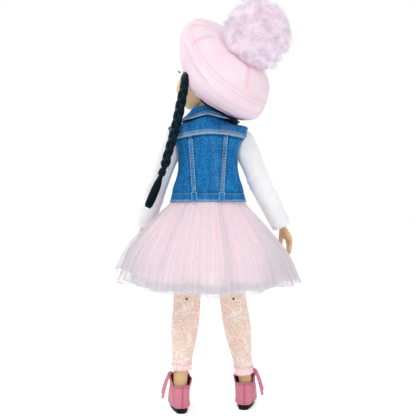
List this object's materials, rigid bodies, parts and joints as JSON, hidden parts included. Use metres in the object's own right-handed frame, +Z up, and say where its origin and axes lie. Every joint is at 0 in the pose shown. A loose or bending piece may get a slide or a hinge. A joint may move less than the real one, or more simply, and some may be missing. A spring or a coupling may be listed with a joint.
{
  "type": "fashion doll",
  "caption": "Posable standing fashion doll in a felt beret with a fur pom-pom, denim vest, white top, tulle tutu, lace leggings and ankle boots, with jointed neck, arms and legs.",
  "frame": {"origin": "middle of the bounding box on the floor under the boots", "axes": "+Z up from the floor, -Y the way the chest faces, +X to the doll's left"},
  "size_m": [0.1834, 0.1804, 0.3888],
  "materials": {
    "skin": "satin",
    "joint_plastic": "satin",
    "steel": "brushed",
    "eye": "gloss",
    "lash": "matte",
    "hair": "satin fibre",
    "hair_tie": "matte",
    "felt": "felted wool",
    "fur": "long soft pile",
    "denim": "washed twill",
    "button_brass": "worn",
    "cotton": "fine jersey",
    "tulle": "sheer net",
    "satin": "satin",
    "elastic": "ribbed",
    "lace": "open lace",
    "suede": "suede",
    "sole_rubber": "matte"
  },
  "bodies": {
    "torso": {"torso_front": "skin", "torso_back": "skin", "neck": "skin", "hip_axle": "steel", "shirt_body": "cotton", "vest_back": "denim", "vest_left_front": "denim", "vest_right_front": "denim", "vest_collar": "denim", "vest_button_1": "button_brass", "vest_button_2": "button_brass", "vest_button_3": "button_brass", "vest_button_4": "button_brass", "skirt_waistband": "elastic", "skirt_lining": "satin", "skirt_tulle_inner": "tulle", "skirt_tulle_outer": "tulle", "leggings_hips": "lace"},
    "head": {"head": "skin", "hair_cap": "hair", "left_eye": "eye", "right_eye": "eye", "left_eyelashes": "lash", "right_eyelashes": "lash", "left_braid": "hair", "right_braid": "hair", "left_braid_tie": "hair_tie", "right_braid_tie": "hair_tie", "beret_crown": "felt", "beret_underside": "felt", "pompom": "fur"},
    "left_shoulder": {"left_shoulder_ball": "joint_plastic"},
    "left_upper_arm": {"left_upper_arm": "skin", "left_elbow_pin": "joint_plastic", "left_sleeve": "cotton"},
    "left_forearm": {"left_forearm": "skin", "left_wrist_peg": "joint_plastic"},
    "left_hand": {"left_hand": "skin"},
    "left_thigh": {"left_thigh": "skin", "left_knee_pin": "joint_plastic", "left_legging": "lace"},
    "left_lower_leg": {"left_lower_leg": "skin", "left_boot_upper": "suede", "left_boot_sole": "sole_rubber", "left_boot_tie": "suede"},
    "right_shoulder": {"right_shoulder_ball": "joint_plastic"},
    "right_upper_arm": {"right_upper_arm": "skin", "right_elbow_pin": "joint_plastic", "right_sleeve": "cotton"},
    "right_forearm": {"right_forearm": "skin", "right_wrist_peg": "joint_plastic"},
    "right_hand": {"right_hand": "skin"},
    "right_thigh": {"right_thigh": "skin", "right_knee_pin": "joint_plastic", "right_legging": "lace"},
    "right_lower_leg": {"right_lower_leg": "skin", "right_boot_upper": "suede", "right_boot_sole": "sole_rubber", "right_boot_tie": "suede"}
  },
  "joints": [
    {"name": "neck_turn", "type": "hinge", "parent": "torso", "child": "head", "pos_m": [0, 0, 0.286], "axis": [0, 0, 1], "range_deg": [-80, 20], "deforming": ["left_braid", "left_braid_tie", "right_braid", "right_braid_tie"]},
    {"name": "left_shoulder_swing", "type": "hinge", "parent": "torso", "child": "left_shoulder", "pos_m": [0.034, 0, 0.264], "axis": [1, 0, 0], "range_deg": [-100, 40], "deforming": ["left_sleeve"]},
    {"name": "left_arm_lift", "type": "hinge", "parent": "left_shoulder", "child": "left_upper_arm", "pos_m": [0.034, 0, 0.264], "axis": [0, -1, 0], "range_deg": [-3, 45], "deforming": ["left_sleeve"]},
    {"name": "left_elbow_bend", "type": "hinge", "parent": "left_upper_arm", "child": "left_forearm", "pos_m": [0.05, 0.002, 0.221], "axis": [1, 0, 0], "range_deg": [-60, 28], "deforming": ["left_sleeve"]},
    {"name": "left_wrist_turn", "type": "hinge", "parent": "left_forearm", "child": "left_hand", "pos_m": [0.064, -0.027, 0.181], "axis": [0.2726, -0.5647, -0.7789], "range_deg": [-60, 60]},
    {"name": "left_hip_swing", "type": "hinge", "parent": "torso", "child": "left_thigh", "pos_m": [0.018, 0, 0.188], "axis": [1, 0, 0], "range_deg": [-90, 20], "deforming": ["left_legging", "leggings_hips", "skirt_lining", "skirt_tulle_inner", "skirt_tulle_outer"]},
    {"name": "left_knee_bend", "type": "hinge", "parent": "left_thigh", "child": "left_lower_leg", "pos_m": [0.0205, 0, 0.1085], "axis": [1, 0, 0], "range_deg": [0, 80], "deforming": ["left_legging"]},
    {"name": "right_shoulder_swing", "type": "hinge", "parent": "torso", "child": "right_shoulder", "pos_m": [-0.034, 0, 0.264], "axis": [1, 0, 0], "range_deg": [-100, 40], "deforming": ["right_sleeve"]},
    {"name": "right_arm_lift", "type": "hinge", "parent": "right_shoulder", "child": "right_upper_arm", "pos_m": [-0.034, 0, 0.264], "axis": [0, 1, 0], "range_deg": [-3, 45], "deforming": ["right_sleeve"]},
    {"name": "right_elbow_bend", "type": "hinge", "parent": "right_upper_arm", "child": "right_forearm", "pos_m": [-0.051, 0.002, 0.221], "axis": [1, 0, 0], "range_deg": [-65, 12], "deforming": ["right_sleeve"]},
    {"name": "right_wrist_turn", "type": "hinge", "parent": "right_forearm", "child": "right_hand", "pos_m": [-0.073, -0.007, 0.179], "axis": [-0.4559, -0.1865, -0.8703], "range_deg": [-60, 60]},
    {"name": "right_hip_swing", "type": "hinge", "parent": "torso", "child": "right_thigh", "pos_m": [-0.018, 0, 0.188], "axis": [1, 0, 0], "range_deg": [-90, 20], "deforming": ["right_legging", "leggings_hips", "skirt_lining", "skirt_tulle_inner", "skirt_tulle_outer"]},
    {"name": "right_knee_bend", "type": "hinge", "parent": "right_thigh", "child": "right_lower_leg", "pos_m": [-0.0245, -0.001, 0.1085], "axis": [1, 0, 0], "range_deg": [0, 80], "deforming": ["right_legging"]}
  ]
}
